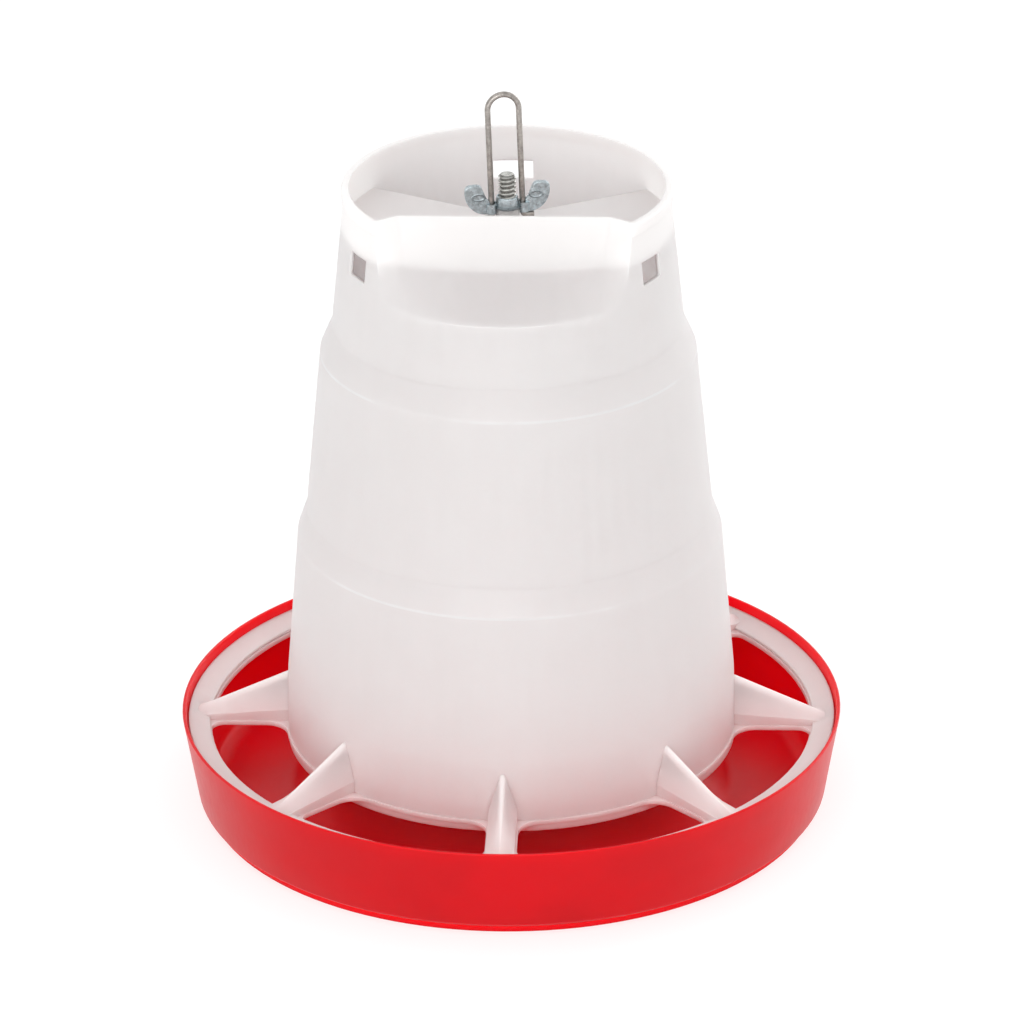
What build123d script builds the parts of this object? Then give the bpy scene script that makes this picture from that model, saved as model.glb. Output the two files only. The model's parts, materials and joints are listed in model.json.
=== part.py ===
from build123d import *
from math import cos, pi, radians, sin, tan
import os

# Hanging poultry feeder: a red feed tray, a stepped translucent hopper with a feeding
# grille, and a threaded rod that ties the two together under a wing nut with a wire bail.
# The origin is the middle of the tray's foot, on the floor. The front faces -Y.

# Clearances
seat_gap = 0.3
running_gap = 0.07
slide_gap = 0.2
bolt_gap = 0.3
ring_gap = 0.45

# Feed tray
tray_radius = 150.0
tray_height = 43.2
tray_wall = 3.0
tray_foot_wall = 2.6
tray_wall_foot_inset = 6.4
tray_wall_foot_height = 4.9
tray_rim_thickness = 1.5
tray_rim_round = 0.6
tray_ledge_drop = 6.0
tray_corner_radius = 9.0
foot_inset = 10.0
foot_groove_depth = 0.6
foot_land = 3.5
floor_thickness = 2.4
floor_radius = 100.0
cone_rise = 43.6
cone_land_radius = 14.0
cone_land_thickness = 3.0
cone_wall = 2.2

# Threaded rod, 8 mm across its thread, with its nuts and washers
rod_radius = 3.95
rod_chamfer = 0.9
rod_stickout = 10.3
rod_tail = 2.0
nut_across_flats = 13.0
nut_height = 6.5
nut_bevel = 0.7
washer_radius = 12.0
washer_thickness = 2.0

# Hopper wall, heights above its lower edge
wall = 1.8
lower_edge_radius = 101.9
skirt_top_radius = 101.3
skirt_top = 32.5
lower_step_radius = 95.5
lower_step_bottom = 101.5
lower_neck_radius = 91.2
lower_step_top = 113.5
upper_step_radius = 83.7
upper_step_bottom = 190.0
upper_neck_radius = 78.2
upper_step_top = 202.5
mouth_radius = 71.6
hopper_height = 267.1
step_round = 6.0
rim_lip = 1.5
rim_lip_height = 5.6
rim_lip_round = 0.7

# Flattened front of the mouth
chord_depth = 38.0
chord_half_width = 46.0
corner_depth = 46.0
corner_stand = 0.9
flat_drop = 36.6
flat_foot_half_width = 46.0
flat_foot_corner = 62.0
flat_reach = 200.0

# Shelf that carries the hanger, and the windows under it
shelf_drop = 17.2
shelf_thickness = 2.0
shelf_pad_radius = 15.0
shelf_notch_depth = 5.6
shelf_wing_x = 61.5
shelf_wing_y = 38.0
shelf_blend = 9.0
spigot_radius = 5.3
spigot_height = 6.6
sleeve_radius = 7.2
sleeve_length = 8.0
back_window_width = 18.0
back_window_height = 9.0
side_window_width = 14.0
side_window_height = 10.6
side_window_angle = 60.0

# Feeding grille round the hopper's foot
spoke_count = 8
spoke_half_width = 6.3
spoke_wall = 1.7
spoke_ridge_inner = 31.5
spoke_ridge_outer = 9.2
spoke_shoulder_inner = 11.0
spoke_shoulder_outer = 8.0
spoke_ridge_round = 1.3
grille_bottom = 3.2
grille_web = 2.2
grille_land = 0.7
grille_inner_corner = 11.0
grille_outer_corner = 6.0
ring_rise = 8.0
ring_thickness = 2.0
ring_width = 9.65
ring_slope = 2.9
ring_seat_width = 2.0
ring_round = 0.8

# Wing nut and wire bail
hanger_turn = 12.0
hub_radius = 5.3
hub_top_radius = 4.8
hub_height = 5.1
hub_flange_radius = 6.1
hub_flange = 1.5
hub_round = 0.7
wing_span_radius = 19.0
wing_thickness = 2.4
wing_top = 11.0
wing_bottom = 2.9
wing_edge_round = 0.6
eye_radius = 3.0
eye_top = 2.0
eye_depth = 2.4
wire_radius = 1.3
wire_gap = 0.35
bail_half_width = 6.92
bail_height = 54.0
bail_lean = 1.8
bail_foot_bend = 1.7
bail_foot_angle = 88.0
bail_foot_length = 3.2
bail_foot_drop = 2.9

# Levels and radii that follow from the sizes above
foot_radius = tray_radius - foot_inset
tray_wall_foot_radius = tray_radius - tray_wall_foot_inset
floor_top = floor_thickness
cone_top = floor_top + cone_rise
ledge_height = tray_height - tray_ledge_drop
hopper_base = ledge_height + seat_gap - ring_rise
rim_height = hopper_base + hopper_height
shelf_height = rim_height - shelf_drop
spigot_top = shelf_height + spigot_height
nut_base = spigot_top + seat_gap
rod_top = nut_base + hub_height + rod_stickout
cone_under = cone_top - cone_land_thickness
rod_bottom = cone_under - washer_thickness - nut_height - rod_tail


def tray_outside(height):
    """Outer radius of the tray's leaning wall at a height above the floor."""
    lean = (tray_radius - tray_wall_foot_radius) / (tray_height - tray_wall_foot_height)
    return tray_wall_foot_radius + lean * (height - tray_wall_foot_height)


ring_outer_radius = tray_outside(ledge_height) - tray_rim_thickness - ring_gap
ring_inner_radius = ring_outer_radius - ring_width
corner_radius = mouth_radius + rim_lip + corner_stand
corner_half_width = (corner_radius**2 - corner_depth**2) ** 0.5


def hopper_outline(inset):
    """Stepped outline of the hopper wall, moved towards the axis by inset."""
    return [
        (lower_edge_radius - inset, hopper_base),
        (skirt_top_radius - inset, hopper_base + skirt_top),
        (lower_step_radius - inset, hopper_base + lower_step_bottom),
        (lower_neck_radius - inset, hopper_base + lower_step_top),
        (upper_step_radius - inset, hopper_base + upper_step_bottom),
        (upper_neck_radius - inset, hopper_base + upper_step_top),
        (mouth_radius - inset, rim_height),
    ]


def neck_radius(height):
    """Outer radius of the hopper's top tier at a height above the floor."""
    share = (rim_height - height) / (hopper_height - upper_step_top)
    return mouth_radius + share * (upper_neck_radius - mouth_radius)


# Feed tray: one moulding, a ring-shaped trough round a cone
cone_slope = cone_rise / (floor_radius - cone_land_radius)
cone_wall_drop = cone_wall * (1 + cone_slope**2) ** 0.5
cone_foot_under = floor_radius - (cone_wall_drop - floor_thickness) / cone_slope
cone_shoulder_under = cone_land_radius - (cone_land_thickness - cone_wall_drop) / cone_slope

with BuildPart() as feed_tray:
    with BuildSketch(Plane.XZ) as tray_section:
        with BuildLine():
            Polyline(
                (rod_radius + bolt_gap, cone_under),
                (cone_shoulder_under, cone_under),
                (cone_foot_under, 0),
                (foot_radius, 0),
                (foot_radius, tray_wall_foot_height / 2),
                (tray_wall_foot_radius, tray_wall_foot_height),
                (tray_radius, tray_height),
                (tray_radius - tray_rim_thickness, tray_height),
                (tray_outside(ledge_height) - tray_rim_thickness, ledge_height),
                (tray_outside(ledge_height) - tray_wall, ledge_height),
                (foot_radius - tray_foot_wall, floor_top),
                (floor_radius, floor_top),
                (cone_land_radius, cone_top),
                (rod_radius + bolt_gap, cone_top),
                close=True,
            )
        make_face()
        for corner, radius in [
            ((tray_radius, tray_height), tray_rim_round),
            ((tray_radius - tray_rim_thickness, tray_height), tray_rim_round),
            ((foot_radius - tray_foot_wall, floor_top), tray_corner_radius),
            ((tray_wall_foot_radius, tray_wall_foot_height), tray_wall_foot_height / 3),
            ((floor_radius, floor_top), tray_corner_radius),
        ]:
            fillet(tray_section.vertices().sort_by_distance(corner)[0], radius)
    revolve(axis=Axis.Z)
    with BuildSketch(Plane.XY):
        Circle(foot_radius - foot_land)
        Circle(cone_foot_under + foot_land, mode=Mode.SUBTRACT)
    extrude(amount=foot_groove_depth, mode=Mode.SUBTRACT)
feed_tray.part.label = "feed_tray"


def front_section(height, share, inset):
    """Plan of what the flattened front leaves out at one height, open towards the front.

    The share runs from 0 at the foot of the flat, a round line on the neck, to 1 at the
    rim, a straight chord with a short return at each side."""
    radius = neck_radius(rim_height - flat_drop) + seat_gap - inset
    foot_angle = flat_foot_half_width / radius
    corner_angle = flat_foot_corner / radius
    with BuildSketch(Plane.XY.offset(height)) as section:
        with BuildLine():
            if share > 0:
                left = (-corner_half_width, -corner_depth + inset)
                right = (corner_half_width, -corner_depth + inset)
                chord_left = (-chord_half_width, -chord_depth + inset)
                chord_right = (chord_half_width, -chord_depth + inset)
                Line(left, chord_left)
                Line(chord_left, chord_right)
                Line(chord_right, right)
            else:
                left = (-radius * sin(corner_angle), -radius * cos(corner_angle))
                right = (radius * sin(corner_angle), -radius * cos(corner_angle))
                for start, end in [
                    (-corner_angle, -foot_angle),
                    (-foot_angle, foot_angle),
                    (foot_angle, corner_angle),
                ]:
                    ThreePointArc(
                        (radius * sin(start), -radius * cos(start)),
                        (radius * sin((start + end) / 2), -radius * cos((start + end) / 2)),
                        (radius * sin(end), -radius * cos(end)),
                    )
            reach = 1 + flat_reach / radius
            Polyline(
                right,
                (right[0] * reach, right[1] * reach),
                (left[0] * reach, left[1] * reach),
                left,
            )
        make_face()
    return section.sketch


def front_cutter(inset):
    """Space in front of the flattened part of the mouth, lofted from chord to neck."""
    with BuildPart() as cutter:
        add(front_section(rim_height - flat_drop, 0, inset))
        add(front_section(rim_height, 1, inset))
        loft(ruled=True)
        add(front_section(rim_height, 1, inset))
        extrude(amount=flat_drop / 4, dir=(0, 0, 1))
    return cutter.part


# Hopper body without its hollow, as the outline turned about the axis
with BuildPart() as hopper_body:
    with BuildSketch(Plane.XZ):
        with BuildLine():
            outline = FilletPolyline(*hopper_outline(0), radius=step_round)
            Polyline(outline @ 1, (0, rim_height), (0, hopper_base), outline @ 0)
        make_face()
    revolve(axis=Axis.Z)
    with BuildSketch(Plane.XZ) as lip_section:
        lip_radius = mouth_radius + rim_lip
        with Locations((lip_radius, rim_height)):
            Rectangle(2 * rim_lip + wall / 2, rim_lip_height, align=(Align.MAX, Align.MAX))
        lip_corners = lip_section.vertices().group_by(Axis.X)[-1].sort_by(Axis.Y)
        fillet(lip_corners[-1], rim_lip_round)
        chamfer(lip_section.vertices().group_by(Axis.X)[-1].sort_by(Axis.Y)[0], rim_lip_round / 2)
    revolve(axis=Axis.Z)
    add(front_cutter(0), mode=Mode.SUBTRACT)

# Hollow of the hopper, open at both ends
with BuildPart() as hopper_hollow:
    with BuildSketch(Plane.XZ):
        with BuildLine():
            inner = FilletPolyline(*hopper_outline(wall), radius=step_round)
            Polyline(
                inner @ 1,
                (mouth_radius - wall, rim_height + wall),
                (0, rim_height + wall),
                (0, hopper_base - wall),
                (lower_edge_radius - wall, hopper_base - wall),
                inner @ 0,
            )
        make_face()
    revolve(axis=Axis.Z)
    add(front_cutter(wall), mode=Mode.SUBTRACT)

# Shelf across the front half of the mouth, with a round pad behind it for the hanger
with BuildPart() as shelf:
    with BuildSketch(Plane.XY.offset(shelf_height)) as shelf_plan:
        notch_slope = (shelf_wing_y - shelf_notch_depth) / shelf_wing_x
        far_y = shelf_notch_depth + notch_slope * 2 * mouth_radius
        with BuildLine():
            Polyline(
                (-2 * mouth_radius, -2 * mouth_radius),
                (2 * mouth_radius, -2 * mouth_radius),
                (2 * mouth_radius, far_y),
                (0, shelf_notch_depth),
                (-2 * mouth_radius, far_y),
                close=True,
            )
        make_face()
        Circle(shelf_pad_radius)
        fillet(shelf_plan.vertices().sort_by_distance((0, 0))[:2], shelf_blend)
    extrude(amount=-shelf_thickness)
    add(hopper_body.part, mode=Mode.INTERSECT)

# One spoke of the grille points along +X, as a ridged channel open below
spoke_start = skirt_top_radius - wall / 2
spoke_end = ring_outer_radius - 2 * ring_seat_width


def spoke_section(reach, shoulder, ridge, inset):
    """Roof-shaped cross-section of a spoke at a distance from the axis."""
    half = spoke_half_width - inset
    with BuildSketch(Plane.YZ.offset(reach)) as section:
        with BuildLine():
            Polyline(
                (-half, hopper_base + grille_bottom - inset),
                (half, hopper_base + grille_bottom - inset),
                (half, hopper_base + shoulder - inset / 2),
                (0, hopper_base + ridge - inset * 1.2),
                (-half, hopper_base + shoulder - inset / 2),
                close=True,
            )
        make_face()
        fillet(section.vertices().sort_by(Axis.Y)[-1], spoke_ridge_round)
    return section.sketch


with BuildPart() as spoke:
    add(spoke_section(spoke_start, spoke_shoulder_inner, spoke_ridge_inner, 0))
    add(spoke_section(spoke_end, spoke_shoulder_outer, spoke_ridge_outer, 0))
    loft(ruled=True)

with BuildPart() as spoke_hollow:
    hollow_start = lower_edge_radius
    add(spoke_section(hollow_start, spoke_shoulder_inner, spoke_ridge_inner - 1, spoke_wall))
    add(spoke_section(spoke_end - spoke_wall, spoke_shoulder_outer, spoke_ridge_outer, spoke_wall))
    loft(ruled=True)

# Hopper: one moulding, the shell, the shelf and the grille fused together
with BuildPart() as hopper:
    add(hopper_body.part)
    add(hopper_hollow.part, mode=Mode.SUBTRACT)
    add(shelf.part)
    with BuildSketch(Plane.XY.offset(shelf_height)):
        Circle(spigot_radius)
    extrude(amount=spigot_height)
    with BuildSketch(Plane.XY.offset(shelf_height - shelf_thickness)):
        Circle(sleeve_radius)
    extrude(amount=-sleeve_length)
    with Locations((0, 0, shelf_height - shelf_thickness - sleeve_length)):
        Cylinder(
            rod_radius + slide_gap,
            spigot_height + shelf_thickness + sleeve_length,
            align=(Align.CENTER, Align.CENTER, Align.MIN),
            mode=Mode.SUBTRACT,
        )

    # Windows: one at the back, level with the shelf, and one at each side under it
    shelf_under = shelf_height - shelf_thickness
    for angle, width, height, top in [
        (90, back_window_width, back_window_height, shelf_height),
        (-90 + side_window_angle, side_window_width, side_window_height, shelf_under),
        (-90 - side_window_angle, side_window_width, side_window_height, shelf_under),
    ]:
        outward = (cos(radians(angle)), sin(radians(angle)), 0)
        sideways = (-sin(radians(angle)), cos(radians(angle)), 0)
        window_plane = Plane(origin=(0, 0, top), x_dir=sideways, z_dir=outward)
        with BuildSketch(window_plane.offset(mouth_radius - 4 * wall)):
            Rectangle(width, height, align=(Align.CENTER, Align.MAX))
        extrude(amount=8 * wall, mode=Mode.SUBTRACT)

    # Outer ring
    with BuildSketch(Plane.XZ) as ring_section:
        ring_top = hopper_base + ring_rise + ring_thickness
        with BuildLine():
            Polyline(
                (ring_outer_radius, ring_top),
                (ring_inner_radius, ring_top - ring_slope),
                (ring_inner_radius, ring_top - ring_slope - ring_thickness),
                (ring_outer_radius - ring_seat_width, hopper_base + ring_rise),
                (ring_outer_radius, hopper_base + ring_rise),
                close=True,
            )
        make_face()
        fillet(ring_section.vertices().group_by(Axis.X)[0], ring_round)
    revolve(axis=Axis.Z)

    # Flat webs that round the corners of the feeding openings
    with BuildSketch(Plane.XY.offset(hopper_base + grille_bottom)) as web_plan:
        Circle(ring_inner_radius + ring_thickness)
        Circle(lower_edge_radius - wall / 2, mode=Mode.SUBTRACT)
        half_step = pi / spoke_count
        apex = (spoke_half_width + grille_land) / sin(half_step)
        side = ring_outer_radius
        with BuildSketch(mode=Mode.PRIVATE) as opening:
            Circle(ring_inner_radius - grille_land)
            Circle(lower_edge_radius + grille_land, mode=Mode.SUBTRACT)
            with BuildLine():
                Polyline(
                    (apex, 0),
                    (apex + side * cos(half_step), side * sin(half_step)),
                    (apex + side * cos(half_step), -side * sin(half_step)),
                    close=True,
                )
            make_face(mode=Mode.INTERSECT)
            fillet(opening.vertices().sort_by_distance((0, 0))[:2], grille_inner_corner)
            fillet(opening.vertices().sort_by_distance((0, 0))[-2:], grille_outer_corner)
        with PolarLocations(0, spoke_count, start_angle=180 / spoke_count):
            add(opening.sketch, mode=Mode.SUBTRACT)
    extrude(amount=grille_web)

    with PolarLocations(0, spoke_count):
        add(spoke.part)
    with PolarLocations(0, spoke_count):
        add(spoke_hollow.part, mode=Mode.SUBTRACT)
hopper.part.label = "hopper"


# Threaded rod on the axis
with BuildPart() as centre_rod:
    with BuildSketch(Plane.XY.offset(rod_bottom)):
        Circle(rod_radius)
    extrude(amount=rod_top - rod_bottom)
    chamfer(centre_rod.edges().filter_by(GeomType.CIRCLE), rod_chamfer)
centre_rod.part.label = "centre_rod"


def hex_nut(base):
    """Hexagon nut with bevelled corners, standing on a level."""
    with BuildPart() as nut:
        with BuildSketch(Plane.XY.offset(base)):
            RegularPolygon(nut_across_flats / 2, 6, major_radius=False)
        extrude(amount=nut_height)
        with BuildSketch(Plane.XZ):
            corner = nut_across_flats / 2 / cos(radians(30))
            with BuildLine():
                Polyline(
                    (0, base),
                    (corner - nut_bevel, base),
                    (corner, base + nut_bevel / 2),
                    (corner, base + nut_height - nut_bevel / 2),
                    (corner - nut_bevel, base + nut_height),
                    (0, base + nut_height),
                    close=True,
                )
            make_face()
        revolve(axis=Axis.Z, mode=Mode.INTERSECT)
        with BuildSketch(Plane.XY.offset(base)):
            Circle(rod_radius + running_gap)
        extrude(amount=nut_height, mode=Mode.SUBTRACT)
    return nut.part


def washer(base):
    """Wide flat washer lying on a level."""
    with BuildPart() as disc:
        with BuildSketch(Plane.XY.offset(base)):
            Circle(washer_radius)
            Circle(rod_radius + bolt_gap, mode=Mode.SUBTRACT)
        extrude(amount=washer_thickness)
    return disc.part


cone_washer = washer(cone_top)
cone_washer.label = "cone_washer"
cone_nut = hex_nut(cone_top + washer_thickness)
cone_nut.label = "cone_nut"
base_washer = washer(cone_under - washer_thickness)
base_washer.label = "base_washer"
base_nut = hex_nut(cone_under - washer_thickness - nut_height)
base_nut.label = "base_nut"


# Wing nut: a low hub, two leaf-shaped wings, and an eye in each wing's root for the bail
hanger_plane = Plane.XZ.rotated((0, 0, hanger_turn))
hanger_level = Plane.XY.rotated((0, 0, hanger_turn))

with BuildPart() as wing_nut:
    with BuildSketch(hanger_plane):
        with BuildLine():
            inner_edge = Spline(
                (hub_radius - 1, nut_base + eye_top),
                (bail_half_width + 1.2, nut_base + wing_top * 0.3),
                (wing_span_radius * 0.62, nut_base + wing_top * 0.93),
                tangents=((1, 0.2), (0.5, 0.8)),
            )
            top_edge = Spline(
                inner_edge @ 1,
                (wing_span_radius * 0.8, nut_base + wing_top),
                (wing_span_radius, nut_base + wing_top * 0.72),
                tangents=((0.7, 0.7), (0, -1)),
            )
            lobe_end = bail_half_width + eye_radius - wing_edge_round
            Spline(
                top_edge @ 1,
                (wing_span_radius * 0.8, nut_base - wing_bottom * 0.3),
                (lobe_end, nut_base - wing_bottom),
                tangents=((0, -1), (-1, 0)),
            )
            Polyline(
                (lobe_end, nut_base - wing_bottom),
                (hub_radius + wire_gap, nut_base - wing_bottom),
                (hub_radius + wire_gap, nut_base),
                (hub_radius - 1, nut_base),
                (hub_radius - 1, nut_base + eye_top),
            )
        make_face()
    extrude(amount=wing_thickness / 2, both=True)
    fillet(wing_nut.faces().filter_by(GeomType.PLANE).sort_by(SortBy.AREA)[-2:].edges()
           .filter_by(GeomType.BSPLINE), wing_edge_round)
    with BuildSketch(hanger_level.offset(nut_base - eye_depth)):
        with Locations((bail_half_width, 0)):
            Circle(eye_radius)
    extrude(amount=eye_depth + eye_top)
    mirror(about=Plane.YZ.rotated((0, 0, hanger_turn)))
    with BuildSketch(Plane.XZ) as hub_section:
        with BuildLine():
            Polyline(
                (0, nut_base),
                (hub_flange_radius, nut_base),
                (hub_flange_radius, nut_base + hub_flange / 2),
                (hub_radius, nut_base + hub_flange),
                (hub_top_radius, nut_base + hub_height),
                (0, nut_base + hub_height),
                close=True,
            )
        make_face()
        fillet(hub_section.vertices().sort_by_distance((hub_radius, nut_base + hub_flange))[0],
               hub_round)
        fillet(hub_section.vertices().sort_by_distance((hub_top_radius, nut_base + hub_height))[0],
               hub_round)
    revolve(axis=Axis.Z)
    with BuildSketch(Plane.XY.offset(nut_base - eye_depth)):
        Circle(spigot_radius + seat_gap)
    extrude(amount=eye_depth, mode=Mode.SUBTRACT)
    with BuildSketch(Plane.XY.offset(nut_base)):
        Circle(rod_radius + running_gap)
    extrude(amount=hub_height, mode=Mode.SUBTRACT)
    with BuildSketch(hanger_level.offset(nut_base - wing_top)):
        with Locations((-bail_half_width, 0), (bail_half_width, 0)):
            Circle(wire_radius + wire_gap)
    extrude(amount=2 * wing_top, mode=Mode.SUBTRACT)
wing_nut.part.label = "wing_nut"


# Wire bail: a hairpin whose ends turn outwards under the wing nut
with BuildPart() as hanging_bail:
    bend_level = nut_base - bail_foot_drop
    arch_level = nut_base + bail_height - wire_radius - bail_half_width
    bend = radians(bail_foot_angle)
    foot_x = bail_half_width + bail_foot_bend * (1 - cos(bend))
    foot_z = bend_level - bail_foot_bend * sin(bend)
    tip_x = foot_x + bail_foot_length * sin(bend)
    tip_z = foot_z - bail_foot_length * cos(bend)
    middle = bend / 2
    bend_x = bail_half_width + bail_foot_bend * (1 - cos(middle))
    bend_z = bend_level - bail_foot_bend * sin(middle)
    with BuildLine(hanger_plane) as wire_path:
        Line((-tip_x, tip_z), (-foot_x, foot_z))
        ThreePointArc((-foot_x, foot_z), (-bend_x, bend_z), (-bail_half_width, bend_level))
        Line((-bail_half_width, bend_level), (-bail_half_width, arch_level))
        ThreePointArc(
            (-bail_half_width, arch_level),
            (0, arch_level + bail_half_width),
            (bail_half_width, arch_level),
        )
        Line((bail_half_width, arch_level), (bail_half_width, bend_level))
        ThreePointArc((bail_half_width, bend_level), (bend_x, bend_z), (foot_x, foot_z))
        Line((foot_x, foot_z), (tip_x, tip_z))
    with BuildSketch(wire_path.line ^ 0):
        Circle(wire_radius)
    sweep(path=wire_path.line)
lean_axis = Axis((0, 0, nut_base - eye_depth / 2), hanger_plane.z_dir)
hanging_bail_solid = hanging_bail.part.rotate(lean_axis, bail_lean)
hanging_bail_solid.label = "hanging_bail"

os.makedirs("parts", exist_ok=True)
export_step(feed_tray.part, "parts/feed_tray.step")
export_step(hopper.part, "parts/hopper.step")
export_step(centre_rod.part, "parts/centre_rod.step")
export_step(cone_washer, "parts/cone_washer.step")
export_step(cone_nut, "parts/cone_nut.step")
export_step(base_washer, "parts/base_washer.step")
export_step(base_nut, "parts/base_nut.step")
export_step(wing_nut.part, "parts/wing_nut.step")
export_step(hanging_bail_solid, "parts/hanging_bail.step")
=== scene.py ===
"""Hanging poultry feeder: the looks of its moulded plastic and its zinc-plated hardware."""

import json
import math

import bpy
from bpy.props import FloatProperty, FloatVectorProperty, IntProperty, PointerProperty
from mathutils import Matrix, Vector

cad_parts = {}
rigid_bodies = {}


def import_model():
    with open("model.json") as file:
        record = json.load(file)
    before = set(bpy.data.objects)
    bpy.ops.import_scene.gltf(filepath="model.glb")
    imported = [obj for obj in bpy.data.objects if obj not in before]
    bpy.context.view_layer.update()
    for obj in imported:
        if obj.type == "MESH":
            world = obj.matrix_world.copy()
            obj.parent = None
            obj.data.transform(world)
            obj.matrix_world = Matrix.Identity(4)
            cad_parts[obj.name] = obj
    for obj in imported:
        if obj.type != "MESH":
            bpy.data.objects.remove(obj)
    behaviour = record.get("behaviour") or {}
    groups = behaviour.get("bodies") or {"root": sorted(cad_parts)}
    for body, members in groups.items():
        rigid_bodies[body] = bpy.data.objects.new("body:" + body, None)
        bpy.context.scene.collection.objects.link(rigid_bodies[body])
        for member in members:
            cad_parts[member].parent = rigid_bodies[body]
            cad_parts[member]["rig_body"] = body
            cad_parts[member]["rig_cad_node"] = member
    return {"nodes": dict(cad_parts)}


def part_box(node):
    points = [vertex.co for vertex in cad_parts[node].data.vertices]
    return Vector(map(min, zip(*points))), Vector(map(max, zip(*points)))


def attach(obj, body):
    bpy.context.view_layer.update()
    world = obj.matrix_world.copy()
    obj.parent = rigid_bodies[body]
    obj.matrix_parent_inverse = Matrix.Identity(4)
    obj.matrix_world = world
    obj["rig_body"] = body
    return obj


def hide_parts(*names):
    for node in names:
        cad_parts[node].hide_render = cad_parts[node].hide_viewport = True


bl_info = {
    "name": "Hanging Poultry Feeder",
    "version": (1, 0, 0),
    "blender": (4, 5, 0),
    "location": "View3D > Sidebar > Feeder",
    "description": "Dresses a hanging poultry feeder and sets up its stage",
    "category": "Add Mesh",
}

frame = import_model()
rod_low, rod_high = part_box("centre_rod")
hopper_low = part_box("hopper")[0]
wing_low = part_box("wing_nut")[0]

MM = 0.001

# Places on the pieces that their finishes follow
CREASE_RISES = (101.0 * MM, 189.5 * MM)  # of the mould's creases, along which highlights are painted, above the hopper's lowest point
TRAY_LIGHT_HEIGHTS = (28 * MM, 100 * MM)  # between which the painted red light from the tray fades out on the hopper
WALL_FOOT_RADIUS = 142.1 * MM  # to the middle of the tray's wall, at the wall's foot
WALL_FOOT_HEIGHT = 4.9 * MM
WALL_LEAN = 0.167  # outward for each unit up
MARK_RISE = 8.1 * MM  # of the wings' oval marks above the wing nut's lowest point
MARK_REACH = 12.9 * MM  # of the marks from the rod's axis
MARK_HALF_WIDTH = 2.7 * MM
MARK_HALF_HEIGHT = 1.5 * MM
HUB_CORNER = 5.9 * MM  # radius at which the wings' roots meet the hub

# One pitch of the thread, as steps outward in shares of its depth and up in shares of its pitch
THREAD_PROFILE = (
    (0, 0.16), (0.8, 0.24), (0.2, 0.1), (0, 0.08), (-0.2, 0.1), (-0.8, 0.24), (0, 0.08),
)

# Name, place, point that it faces, width and power in watts of each lamp
LAMPS = (
    ("Back lamp", (1.8, 2.0, 1.0), (0, 0, 0.2), 1.4, 17),
    ("Front lamp", (-0.3, -2.7, 0.7), (0, 0, 0.15), 2.0, 27),
    ("Top lamp", (-0.9, -0.3, 2.6), (0, 0, 0.1), 1.6, 2),
)
AIR_LEVEL = 0.93
CAMERA_TARGET = (1.0 * MM, 0, 137.9 * MM)


# Sizes and colours that a user would change


class FeederSizes(bpy.types.PropertyGroup):
    """Sizes of the details and of the stage."""

    thread_pitch: FloatProperty(
        name="Thread pitch", description="Rise of the rod's thread in one turn",
        default=2.0 * MM, min=0.5 * MM, max=4 * MM, precision=5, unit="LENGTH",
    )
    thread_depth: FloatProperty(
        name="Thread depth", description="Height of the thread's crest above its root",
        default=0.85 * MM, min=0.1 * MM, max=2 * MM, precision=5, unit="LENGTH",
    )
    thread_steps: IntProperty(
        name="Thread steps", description="Facets in one turn of the thread",
        default=32, min=12, max=64,
    )
    hanger_turn: FloatProperty(
        name="Hanger turn", description="Turn of the wings and the bail from the X axis",
        default=math.radians(12), unit="ROTATION",
    )
    camera_distance: FloatProperty(
        name="Camera distance", description="From the camera to the point it looks at",
        default=2.824, min=0.5, max=10, unit="LENGTH",
    )
    camera_elevation: FloatProperty(
        name="Camera elevation", description="Height of the camera above the horizon",
        default=math.radians(24.96), unit="ROTATION",
    )
    camera_azimuth: FloatProperty(
        name="Camera azimuth", description="Turn of the camera round the feeder, towards +X",
        default=math.radians(2.3), unit="ROTATION",
    )
    camera_roll: FloatProperty(
        name="Camera roll", description="Turn of the camera about its own view line",
        default=math.radians(-0.47), unit="ROTATION",
    )
    camera_lens: FloatProperty(
        name="Focal length", description="Focal length on a 36 mm wide sensor",
        default=220.74, min=20, max=400, unit="CAMERA",
    )
    floor_width: FloatProperty(
        name="Floor width", description="Width of the floor", default=12.0, min=1, unit="LENGTH",
    )


class FeederColours(bpy.types.PropertyGroup):
    """Base colours of the finishes."""

    hopper: FloatVectorProperty(
        name="Hopper", description="Milky plastic of the hopper and grille",
        default=(0.91, 0.865, 0.85), subtype="COLOR", min=0, max=1,
    )
    tray: FloatVectorProperty(
        name="Tray", description="Red plastic of the tray",
        default=(0.64, 0.001, 0.006), subtype="COLOR", min=0, max=1,
    )
    zinc: FloatVectorProperty(
        name="Zinc", description="Bluish zinc plating of the wing nut, nuts and washers",
        default=(0.50, 0.57, 0.60), subtype="COLOR", min=0, max=1,
    )
    rod: FloatVectorProperty(
        name="Rod", description="Plated steel of the threaded rod",
        default=(0.60, 0.60, 0.57), subtype="COLOR", min=0, max=1,
    )
    wire: FloatVectorProperty(
        name="Wire", description="Drawn steel wire of the bail",
        default=(0.40, 0.37, 0.345), subtype="COLOR", min=0, max=1,
    )
    floor: FloatVectorProperty(
        name="Floor", description="Pale floor and backdrop",
        default=(0.88, 0.88, 0.88), subtype="COLOR", min=0, max=1,
    )


# Shader expressions


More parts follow.
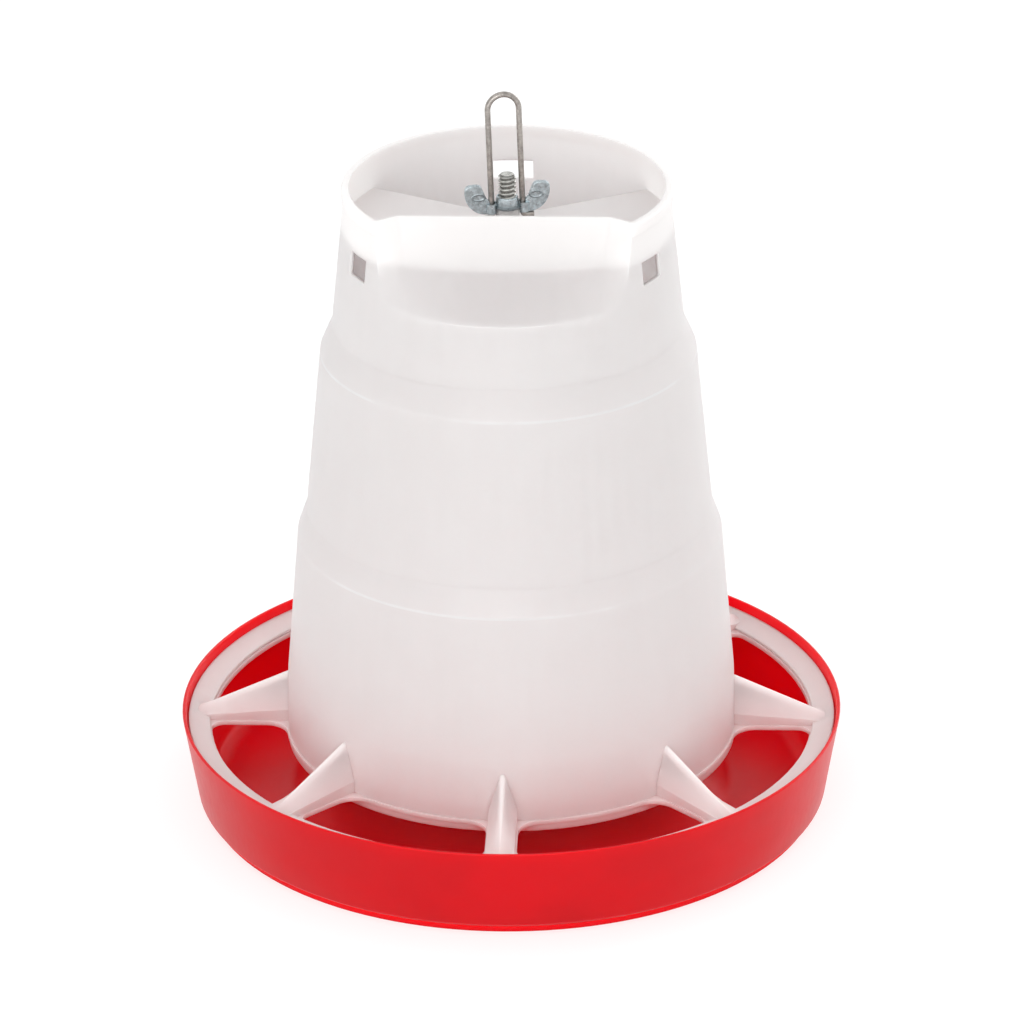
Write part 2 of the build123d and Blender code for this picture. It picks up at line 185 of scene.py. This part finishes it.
class Value:
    """A number socket that adds Math nodes when it is used in an expression."""

    def __init__(self, finish, socket):
        self.finish = finish
        self.socket = socket

    def math(self, operation, first, second=None):
        """The result of a Math node."""
        values = {0: first} if second is None else {0: first, 1: second}
        return self.finish.node("ShaderNodeMath", {"operation": operation}, values)["Value"]

    def __add__(self, other):
        return self.math("ADD", self, other)

    __radd__ = __add__

    def __sub__(self, other):
        return self.math("SUBTRACT", self, other)

    def __rsub__(self, other):
        return self.math("SUBTRACT", other, self)

    def __mul__(self, other):
        return self.math("MULTIPLY", self, other)

    __rmul__ = __mul__

    def __truediv__(self, other):
        return self.math("DIVIDE", self, other)

    def __rtruediv__(self, other):
        return self.math("DIVIDE", other, self)

    def __pow__(self, other):
        return self.math("POWER", self, other)

    def size(self):
        """The number without its sign."""
        return (self * self) ** 0.5

    def clamped(self):
        """The number held between 0 and 1."""
        return self.math("MINIMUM", self.math("MAXIMUM", self, 0.0), 1.0)


class Outputs:
    """The outputs of a node, read by name as expression values."""

    def __init__(self, finish, node):
        self.finish = finish
        self.made = node

    def __getitem__(self, name):
        return Value(self.finish, self.made.outputs[name])


class Finish:
    """A procedural material under construction."""

    def __init__(self, name):
        self.material = bpy.data.materials.new(name)
        self.material.use_nodes = True
        self.tree = self.material.node_tree
        self.tree.nodes.clear()

    def node(self, kind, settings=None, values=None):
        """Adds a node with its settings and with the values or links of its sockets."""
        made = self.tree.nodes.new(kind)
        for name, setting in (settings or {}).items():
            setattr(made, name, setting)
        for name, value in (values or {}).items():
            if isinstance(value, Value):
                self.tree.links.new(value.socket, made.inputs[name])
            else:
                made.inputs[name].default_value = value
        return Outputs(self, made)

    def position(self):
        """Position on the piece in metres."""
        return self.node("ShaderNodeTexCoord")["Object"]

    def place(self, scale=(1, 1, 1)):
        """Position on the piece in metres, stretched by a scale along each axis."""
        values = {"Vector": self.position(), "Scale": scale}
        return self.node("ShaderNodeMapping", None, values)["Vector"]

    def parts(self, place):
        """The three coordinates of a position."""
        return self.node("ShaderNodeSeparateXYZ", None, {"Vector": place})

    def height(self):
        """Height on the piece above the floor, in metres."""
        return self.parts(self.position())["Z"]

    def reach(self, side):
        """Distance from the rod's axis, from the coordinates of a position."""
        return (side["X"] * side["X"] + side["Y"] * side["Y"]) ** 0.5

    def noise(self, place, scale, detail=3.0, roughness=0.5):
        """Cloudy pattern from 0 to 1."""
        values = {"Vector": place, "Scale": scale, "Detail": detail, "Roughness": roughness}
        return self.node("ShaderNodeTexNoise", None, values)["Fac"]

    def between(self, value, low, high):
        """0 below low, 1 above high and smooth in between."""
        settings = {"interpolation_type": "SMOOTHSTEP"}
        values = {"Value": value, "From Min": low, "From Max": high}
        return self.node("ShaderNodeMapRange", settings, values)["Result"]

    def blend(self, share, first, second):
        """Colour that goes from the first to the second with the share."""
        made = self.tree.nodes.new("ShaderNodeMix")
        made.data_type = "RGBA"
        self.tree.links.new(share.socket, made.inputs[0])
        for socket, colour in ((made.inputs[6], first), (made.inputs[7], second)):
            if isinstance(colour, Value):
                self.tree.links.new(colour.socket, socket)
            else:
                socket.default_value = (*colour, 1.0)
        return Value(self, made.outputs[2])

    def bump(self, height, distance, strength=1.0, under=None):
        """Surface normal for a height pattern, laid over another bump if one is given."""
        values = {"Height": height, "Distance": distance, "Strength": strength}
        if under is not None:
            values["Normal"] = under
        return self.node("ShaderNodeBump", None, values)["Normal"]

    def surface(self, **values):
        """Ends the material in a Principled shader."""
        named = {name.replace("_", " ").title(): value for name, value in values.items()}
        named = {name.replace("Ior", "IOR"): value for name, value in named.items()}
        shader = self.node("ShaderNodeBsdfPrincipled", None, named)
        self.node("ShaderNodeOutputMaterial", None, {"Surface": shader["BSDF"]})
        return self.material


def shade(colour, factor):
    """A colour made darker or lighter."""
    return tuple(min(1.0, part * factor) for part in colour)


# Finishes


def hopper_plastic(colours):
    """Milky moulded plastic, cloudy and streaked along its height, with painted highlights along
    its creases and painted red light from the tray low down.
    """
    finish = Finish("Hopper plastic")
    milk = tuple(colours.hopper)
    cloud = finish.noise(finish.place(), 14.0, detail=4.0)
    streak = finish.noise(finish.place((34, 34, 4)), 1.0, detail=3.0)
    pattern = (cloud * 0.6 + streak * 0.4).clamped()
    clouded = finish.between(pattern, 0.35, 0.65)
    base = finish.blend(clouded, shade(milk, 0.975), shade(milk, 1.02))
    # Painted red light from the tray, strongest low on the hopper and fading out above
    low = 1.0 - finish.between(finish.height(), *TRAY_LIGHT_HEIGHTS)
    red_light_and_highlights = finish.blend(low * 0.13, base, tuple(colours.tray))
    # Painted highlights along the mould's creases, broken up by the cloud pattern
    highlight_breaks = finish.between(cloud, 0.47, 0.62) * 0.8
    for rise in CREASE_RISES:
        away = (finish.height() - (hopper_low.z + rise)).size()
        crease_highlight = 1.0 - finish.between(away, 0.25 * MM, 0.9 * MM)
        red_light_and_highlights = finish.blend(crease_highlight * highlight_breaks, red_light_and_highlights, (1.0, 0.99, 0.98))
    scuff = finish.noise(finish.place((260, 260, 90)), 1.0, detail=5.0, roughness=0.65)
    rough = 0.34 + scuff * 0.16
    grain = finish.noise(finish.place(), 900.0, detail=2.0)
    waves = finish.noise(finish.place((16, 16, 9)), 1.0, detail=1.0)
    under = finish.bump(waves, 0.0012, 0.35)
    normal = finish.bump(grain, 0.00003, 0.5, under)
    return finish.surface(
        base_color=red_light_and_highlights, roughness=rough, normal=normal, ior=1.49,
        subsurface_weight=1.0, subsurface_radius=(1.0, 1.0, 1.0), subsurface_scale=0.0075,
    )


def tray_plastic(colours):
    """Glossy red plastic with fine scuffs, and painted light that brightens the inside of the
    tray's wall.
    """
    finish = Finish("Tray plastic")
    red = tuple(colours.tray)
    cloud = finish.noise(finish.place(), 22.0, detail=4.0)
    outer = finish.blend(finish.between(cloud, 0.35, 0.7), shade(red, 0.94), shade(red, 1.04))
    side = finish.parts(finish.position())
    # Painted light: the inside of the tray's wall is drawn brighter than its outside
    wall_middle = WALL_FOOT_RADIUS + (side["Z"] - WALL_FOOT_HEIGHT) * WALL_LEAN
    inside_light = finish.between(wall_middle - finish.reach(side), -0.6 * MM, 0.6 * MM)
    base = finish.blend(inside_light, outer, shade(red, 1.56))
    scuff = finish.noise(finish.place((420, 420, 160)), 1.0, detail=5.0, roughness=0.7)
    rough = 0.26 + scuff * 0.16
    grain = finish.noise(finish.place(), 1100.0, detail=2.0)
    waves = finish.noise(finish.place((24, 24, 40)), 1.0, detail=1.0)
    under = finish.bump(waves, 0.0006, 0.4)
    normal = finish.bump(grain, 0.00002, 0.5, under)
    return finish.surface(
        base_color=base, roughness=rough, normal=normal, ior=1.5, specular_ior_level=0.22,
        subsurface_weight=1.0, subsurface_radius=(1.0, 0.2, 0.2), subsurface_scale=0.003,
    )


def plated_parts(finish, colour, roughness, stretch):
    """Colour, roughness and grain of plated or drawn metal, before any local wear."""
    cloud = finish.noise(finish.place(), 520.0, detail=5.0, roughness=0.6)
    base = finish.blend(finish.between(cloud, 0.3, 0.7), shade(colour, 0.72), shade(colour, 1.22))
    grain = finish.noise(finish.place(stretch), 1.0, detail=4.0, roughness=0.6)
    rough = roughness + (grain - 0.5) * 0.3
    return base, rough, grain


def plated(name, colour, roughness, stretch):
    """Plated or drawn metal, with a grain that can run along its height."""
    finish = Finish(name)
    base, rough, grain = plated_parts(finish, colour, roughness, stretch)
    normal = finish.bump(grain, 0.00006, 0.8)
    return finish.surface(base_color=base, metallic=1.0, roughness=rough, normal=normal)


def thread_plating(colour, root, crest):
    """Plated thread, with painted shade in its roots and bright crests."""
    finish = Finish("Plated thread")
    base, rough, grain = plated_parts(finish, colour, 0.3, (900, 900, 900))
    side = finish.parts(finish.position())
    # Painted shade: the thread's roots are drawn darker, while its crests and top end keep the
    # plating's colour
    out_of_root_shade = finish.between(finish.reach(side), root, crest)
    end = finish.between(side["Z"], rod_high.z - 0.1 * MM, rod_high.z - 0.05 * MM)
    unshaded_share = (out_of_root_shade + end).clamped()
    tone = finish.blend(unshaded_share, shade(colour, 0.42), base)
    normal = finish.bump(grain, 0.00006, 0.8)
    return finish.surface(base_color=tone, metallic=1.0, roughness=rough, normal=normal)


def wing_plating(colour, turn, mark_height):
    """Bluish zinc with an oval mould mark on each wing, and painted shade in the marks' rings and
    in the corners of the hub.
    """
    finish = Finish("Zinc plating")
    base, rough, grain = plated_parts(finish, colour, 0.3, (700, 700, 700))
    values = {"Vector": finish.position(), "Rotation": (0, 0, -turn)}
    side = finish.parts(finish.node("ShaderNodeMapping", None, values)["Vector"])
    across = (side["X"].size() - MARK_REACH) / MARK_HALF_WIDTH
    upward = (side["Z"] - mark_height) / MARK_HALF_HEIGHT
    oval = across * across + upward * upward
    # Painted shade in the pressed ring of each mark and in the hub's corners low down
    rim = 1.0 - finish.between((oval - 1.0).size(), 0.1, 0.6)
    from_corner = (finish.reach(side) - HUB_CORNER).size()
    hub_corner_shade = 1.0 - finish.between(from_corner, 0.2 * MM, 1.3 * MM)
    low = 1.0 - finish.between(side["Z"], mark_height - 4.2 * MM, mark_height - 1.6 * MM)
    painted_shade = (hub_corner_shade * low * 0.85 + rim * 0.45).clamped()
    tone = finish.blend(painted_shade, base, shade(colour, 0.3))
    pressed = finish.bump(rim, 0.0004, 0.8)
    normal = finish.bump(grain, 0.00006, 0.8, pressed)
    return finish.surface(base_color=tone, metallic=1.0, roughness=rough, normal=normal)


# Modelling helpers


def deselect():
    """Leaves object mode with nothing selected."""
    if bpy.context.object and bpy.context.object.mode != "OBJECT":
        bpy.ops.object.mode_set(mode="OBJECT")
    bpy.ops.object.select_all(action="DESELECT")


def only(piece):
    """Makes a piece the one that is selected and active."""
    deselect()
    piece.hide_viewport = False
    piece.select_set(True)
    bpy.context.view_layer.objects.active = piece


def apply_modifiers(piece):
    """Turns every modifier of a piece into mesh."""
    only(piece)
    for modifier in list(piece.modifiers):
        bpy.ops.object.modifier_apply(modifier=modifier.name)


def select_edges(piece, wanted):
    """Leaves a piece in edit mode with only the edges selected whose ends pass a test."""
    only(piece)
    bpy.ops.object.mode_set(mode="EDIT")
    bpy.ops.mesh.select_mode(type="EDGE")
    bpy.ops.mesh.select_all(action="DESELECT")
    bpy.ops.object.mode_set(mode="OBJECT")
    corners = piece.data.vertices
    for edge in piece.data.edges:
        start, end = (corners[index].co for index in edge.vertices)
        edge.select = wanted(start, end)
    bpy.ops.object.mode_set(mode="EDIT")


def smooth(piece, angle):
    """Shades a piece smooth, with edges sharper than the angle left hard."""
    only(piece)
    bpy.ops.object.shade_smooth_by_angle(angle=math.radians(angle))


def moulded(node, name, angle):
    """A merged, smoothly shaded copy of a node's own shape, to carry its finish."""
    only(frame["nodes"][node])
    bpy.ops.object.duplicate()
    piece = bpy.context.object
    piece.name = name
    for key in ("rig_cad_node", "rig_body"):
        if key in piece:
            del piece[key]
    bpy.ops.object.mode_set(mode="EDIT")
    bpy.ops.mesh.select_all(action="SELECT")
    bpy.ops.mesh.customdata_custom_splitnormals_clear()
    bpy.ops.mesh.remove_doubles(threshold=0.005 * MM)
    bpy.ops.object.mode_set(mode="OBJECT")
    smooth(piece, angle)
    return piece


def finished(piece, body, material, node):
    """Gives a piece its finish and its place in the frame, where it stands for a node."""
    piece.data.materials.clear()
    piece.data.materials.append(material)
    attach(piece, body)
    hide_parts(node)


# Pieces


class FEEDER_OT_hopper(bpy.types.Operator):
    """Dress the hopper with its milky plastic"""

    bl_idname = "feeder.hopper"
    bl_label = "Hopper"

    def execute(self, context):
        milky = hopper_plastic(context.scene.feeder_colours)
        piece = moulded("hopper", "hopper_shell", 32)
        finished(piece, "hopper", milky, "hopper")
        return {"FINISHED"}


class FEEDER_OT_tray(bpy.types.Operator):
    """Dress the feed tray with its red plastic"""

    bl_idname = "feeder.tray"
    bl_label = "Feed tray"

    def execute(self, context):
        red = tray_plastic(context.scene.feeder_colours)
        piece = moulded("feed_tray", "tray_shell", 32)
        finished(piece, "tray", red, "feed_tray")
        return {"FINISHED"}


def thread_outline(radius, low, sizes):
    """Draws one pitch of the thread, as a single vertex extruded along its profile."""
    pitch, depth = sizes.thread_pitch, sizes.thread_depth
    bpy.ops.mesh.primitive_plane_add(size=pitch, location=(0, 0, 0))
    piece = bpy.context.object
    bpy.ops.object.mode_set(mode="EDIT")
    bpy.ops.mesh.select_all(action="SELECT")
    bpy.ops.mesh.merge(type="CENTER")
    bpy.ops.transform.translate(value=(radius - depth, 0, low))
    for outward, up in THREAD_PROFILE:
        move = {"value": (outward * depth, 0, up * pitch)}
        bpy.ops.mesh.extrude_region_move(TRANSFORM_OT_translate=move)
    bpy.ops.object.mode_set(mode="OBJECT")
    return piece


def wind_thread(piece, turns, sizes):
    """Winds the profile up the rod's axis and merges the turns into one surface."""
    screw = piece.modifiers.new("Thread", "SCREW")
    screw.axis = "Z"
    screw.screw_offset = sizes.thread_pitch
    screw.iterations = turns
    screw.steps = sizes.thread_steps
    screw.render_steps = sizes.thread_steps
    screw.use_merge_vertices = True
    apply_modifiers(piece)
    bpy.ops.object.mode_set(mode="EDIT")
    bpy.ops.mesh.select_all(action="SELECT")
    bpy.ops.mesh.remove_doubles(threshold=0.002 * MM)
    bpy.ops.object.mode_set(mode="OBJECT")


def close_ends(piece, low, high):
    """Cuts an open surface at two heights and closes it there."""
    only(piece)
    bpy.ops.object.mode_set(mode="EDIT")
    for height, normal in ((low, -1), (high, 1)):
        bpy.ops.mesh.select_all(action="SELECT")
        bpy.ops.mesh.bisect(plane_co=(0, 0, height), plane_no=(0, 0, normal), clear_outer=True)
    bpy.ops.mesh.select_mode(type="EDGE")
    bpy.ops.mesh.select_all(action="DESELECT")
    bpy.ops.mesh.select_non_manifold()
    bpy.ops.mesh.edge_face_add()
    bpy.ops.mesh.select_mode(type="VERT")
    bpy.ops.mesh.select_all(action="SELECT")
    bpy.ops.mesh.normals_make_consistent(inside=False)
    bpy.ops.object.mode_set(mode="OBJECT")


def thread_blank(radius, low, high, chamfer):
    """A plain rod with chamfered ends that trims the thread to length."""
    bpy.ops.mesh.primitive_cylinder_add(
        vertices=64, radius=radius, depth=high - low, location=(0, 0, (low + high) / 2),
    )
    blank = bpy.context.object
    bpy.ops.object.transform_apply(location=True, rotation=False, scale=False)
    select_edges(blank, lambda start, end: abs(start.z - end.z) < 0.01 * MM)
    bpy.ops.mesh.bevel(offset=chamfer, segments=1, affect="EDGES")
    bpy.ops.object.mode_set(mode="OBJECT")
    return blank


def trim_to(piece, blank):
    """Keeps only what lies inside a blank, and removes the blank."""
    trim = piece.modifiers.new("Trim", "BOOLEAN")
    trim.operation = "INTERSECT"
    trim.solver = "EXACT"
    trim.object = blank
    apply_modifiers(piece)
    bpy.data.objects.remove(blank)


class FEEDER_OT_rod(bpy.types.Operator):
    """Cut the thread of the centre rod"""

    bl_idname = "feeder.rod"
    bl_label = "Threaded rod"

    def execute(self, context):
        sizes = context.scene.feeder_sizes
        colour = tuple(context.scene.feeder_colours.rod)
        radius = (rod_high.x - rod_low.x) / 2
        start = rod_low.z - 2 * sizes.thread_pitch
        turns = math.ceil((rod_high.z - start) / sizes.thread_pitch) + 3
        spare = 0.6 * sizes.thread_pitch
        deselect()
        piece = thread_outline(radius, start, sizes)
        piece.name = "threaded_rod"
        wind_thread(piece, turns, sizes)
        close_ends(piece, rod_low.z - spare, rod_high.z + spare)
        # A little wider than the thread, so that only its ends are trimmed
        trim_to(piece, thread_blank(radius * 1.004, rod_low.z, rod_high.z, 1.2 * MM))
        smooth(piece, 30)
        steel = thread_plating(colour, radius - 0.9 * sizes.thread_depth, radius - 0.1 * MM)
        finished(piece, "tray", steel, "centre_rod")
        return {"FINISHED"}


class FEEDER_OT_wing_nut(bpy.types.Operator):
    """Dress the wing nut with its zinc plating"""

    bl_idname = "feeder.wing_nut"
    bl_label = "Wing nut"

    def execute(self, context):
        colour = tuple(context.scene.feeder_colours.zinc)
        turn = context.scene.feeder_sizes.hanger_turn
        zinc = wing_plating(colour, turn, wing_low.z + MARK_RISE)
        finished(moulded("wing_nut", "wing_nut_cast", 34), "hanger", zinc, "wing_nut")
        return {"FINISHED"}


class FEEDER_OT_fasteners(bpy.types.Operator):
    """Dress the nuts and washers that clamp the tray to the rod"""

    bl_idname = "feeder.fasteners"
    bl_label = "Nuts and washers"

    def execute(self, context):
        colours = context.scene.feeder_colours
        zinc = plated("Zinc hardware", tuple(colours.zinc), 0.3, (700, 700, 700))
        for node in ("cone_nut", "cone_washer", "base_nut", "base_washer"):
            finished(moulded(node, node + "_plated", 30), "tray", zinc, node)
        return {"FINISHED"}


class FEEDER_OT_bail(bpy.types.Operator):
    """Dress the wire bail"""

    bl_idname = "feeder.bail"
    bl_label = "Wire bail"

    def execute(self, context):
        colours = context.scene.feeder_colours
        wire = plated("Drawn wire", tuple(colours.wire), 0.33, (1500, 1500, 120))
        finished(moulded("hanging_bail", "bail_wire", 40), "hanger", wire, "hanging_bail")
        return {"FINISHED"}


# Stage


def floor_finish(colour):
    """Pale floor that takes the shadow and shows white to the camera and in reflections."""
    finish = Finish("Pale floor")
    path = finish.node("ShaderNodeLightPath")
    seen = (path["Is Camera Ray"] + path["Is Glossy Ray"] + path["Is Transmission Ray"]).clamped()
    matte = finish.node("ShaderNodeBsdfDiffuse", None, {"Color": (*colour, 1.0)})
    shadow_share, glow_strength = 0.42, 0.72
    dim_colour = (*shade(colour, shadow_share), 1.0)
    dim = finish.node("ShaderNodeBsdfDiffuse", None, {"Color": dim_colour})
    glow_values = {"Color": (1, 1, 1, 1), "Strength": glow_strength}
    glow = finish.node("ShaderNodeEmission", None, glow_values)
    lit = finish.node("ShaderNodeAddShader", None, {0: dim["BSDF"], 1: glow["Emission"]})
    both = finish.node("ShaderNodeMixShader", None, {0: seen, 1: matte["BSDF"], 2: lit["Shader"]})
    finish.node("ShaderNodeOutputMaterial", None, {"Surface": both["Shader"]})
    return finish.material


def softbox(name, place, target, width, energy):
    """Large square lamp turned towards a point."""
    lamp = bpy.data.lights.new(name, "AREA")
    lamp.size = width
    lamp.energy = energy
    stand = bpy.data.objects.new(name, lamp)
    bpy.context.scene.collection.objects.link(stand)
    stand.location = place
    stand.rotation_euler = (Vector(target) - Vector(place)).to_track_quat("-Z", "Y").to_euler()


def studio_air(level):
    """Even white surroundings, pure white where the camera sees them."""
    world = bpy.context.scene.world or bpy.data.worlds.new("Studio")
    bpy.context.scene.world = world
    world.use_nodes = True
    tree = world.node_tree
    tree.nodes.clear()
    path = tree.nodes.new("ShaderNodeLightPath")
    around = tree.nodes.new("ShaderNodeBackground")
    around.inputs["Strength"].default_value = level
    white = tree.nodes.new("ShaderNodeBackground")
    white.inputs["Strength"].default_value = 1.0
    for sky in (around, white):
        sky.inputs["Color"].default_value = (1, 1, 1, 1)
    mix = tree.nodes.new("ShaderNodeMixShader")
    out = tree.nodes.new("ShaderNodeOutputWorld")
    tree.links.new(path.outputs["Is Camera Ray"], mix.inputs[0])
    tree.links.new(around.outputs[0], mix.inputs[1])
    tree.links.new(white.outputs[0], mix.inputs[2])
    tree.links.new(mix.outputs[0], out.inputs["Surface"])


def photo_camera(sizes):
    """Camera at the photographed angle, far away with a long lens."""
    turn = Matrix.Rotation(sizes.camera_azimuth, 4, "Z")
    tilt = Matrix.Rotation(math.pi / 2 - sizes.camera_elevation, 4, "X")
    roll = Matrix.Rotation(sizes.camera_roll, 4, "Z")
    target = turn @ Vector(CAMERA_TARGET)
    back = (turn @ tilt) @ Vector((0, 0, 1))
    data = bpy.data.cameras.new("Photo camera")
    data.lens = sizes.camera_lens
    data.sensor_width = 36
    data.clip_end = 50
    camera = bpy.data.objects.new("Photo camera", data)
    bpy.context.scene.collection.objects.link(camera)
    stand = Matrix.Translation(target + back * sizes.camera_distance)
    camera.matrix_world = stand @ turn @ tilt @ roll
    bpy.context.scene.camera = camera


class FEEDER_OT_stage(bpy.types.Operator):
    """Set up the floor, the lamps and the camera"""

    bl_idname = "feeder.stage"
    bl_label = "Stage"

    def execute(self, context):
        sizes = context.scene.feeder_sizes
        deselect()
        # Just below the tray's foot, so that the two faces don't fight
        bpy.ops.mesh.primitive_plane_add(size=sizes.floor_width, location=(0, 0, -0.2 * MM))
        floor = bpy.context.object
        floor.name = "floor"
        floor.data.materials.append(floor_finish(tuple(context.scene.feeder_colours.floor)))
        for lamp in LAMPS:
            softbox(*lamp)
        studio_air(AIR_LEVEL)
        photo_camera(sizes)
        context.scene.view_settings.view_transform = "Standard"
        return {"FINISHED"}


class FEEDER_PT_panel(bpy.types.Panel):
    """Buttons for the feeder's pieces and stage"""

    bl_idname = "FEEDER_PT_panel"
    bl_label = "Poultry Feeder"
    bl_space_type = "VIEW_3D"
    bl_region_type = "UI"
    bl_category = "Feeder"

    def draw(self, context):
        for group in (context.scene.feeder_sizes, context.scene.feeder_colours):
            box = self.layout.box()
            for name in group.__annotations__:
                box.prop(group, name)
        for operator in OPERATORS:
            self.layout.operator(operator.bl_idname)


OPERATORS = (
    FEEDER_OT_hopper,
    FEEDER_OT_tray,
    FEEDER_OT_rod,
    FEEDER_OT_wing_nut,
    FEEDER_OT_fasteners,
    FEEDER_OT_bail,
    FEEDER_OT_stage,
)
CLASSES = (FeederSizes, FeederColours, *OPERATORS, FEEDER_PT_panel)


def register():
    for made in CLASSES:
        bpy.utils.register_class(made)
    bpy.types.Scene.feeder_sizes = PointerProperty(type=FeederSizes)
    bpy.types.Scene.feeder_colours = PointerProperty(type=FeederColours)


def unregister():
    del bpy.types.Scene.feeder_colours
    del bpy.types.Scene.feeder_sizes
    for made in reversed(CLASSES):
        bpy.utils.unregister_class(made)


def main():
    """Dresses every piece and sets the stage."""
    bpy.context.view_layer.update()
    register()
    bpy.ops.feeder.hopper()
    bpy.ops.feeder.tray()
    bpy.ops.feeder.rod()
    bpy.ops.feeder.wing_nut()
    bpy.ops.feeder.fasteners()
    bpy.ops.feeder.bail()
    bpy.ops.feeder.stage()
    deselect()


if __name__ == "__main__":
    main()
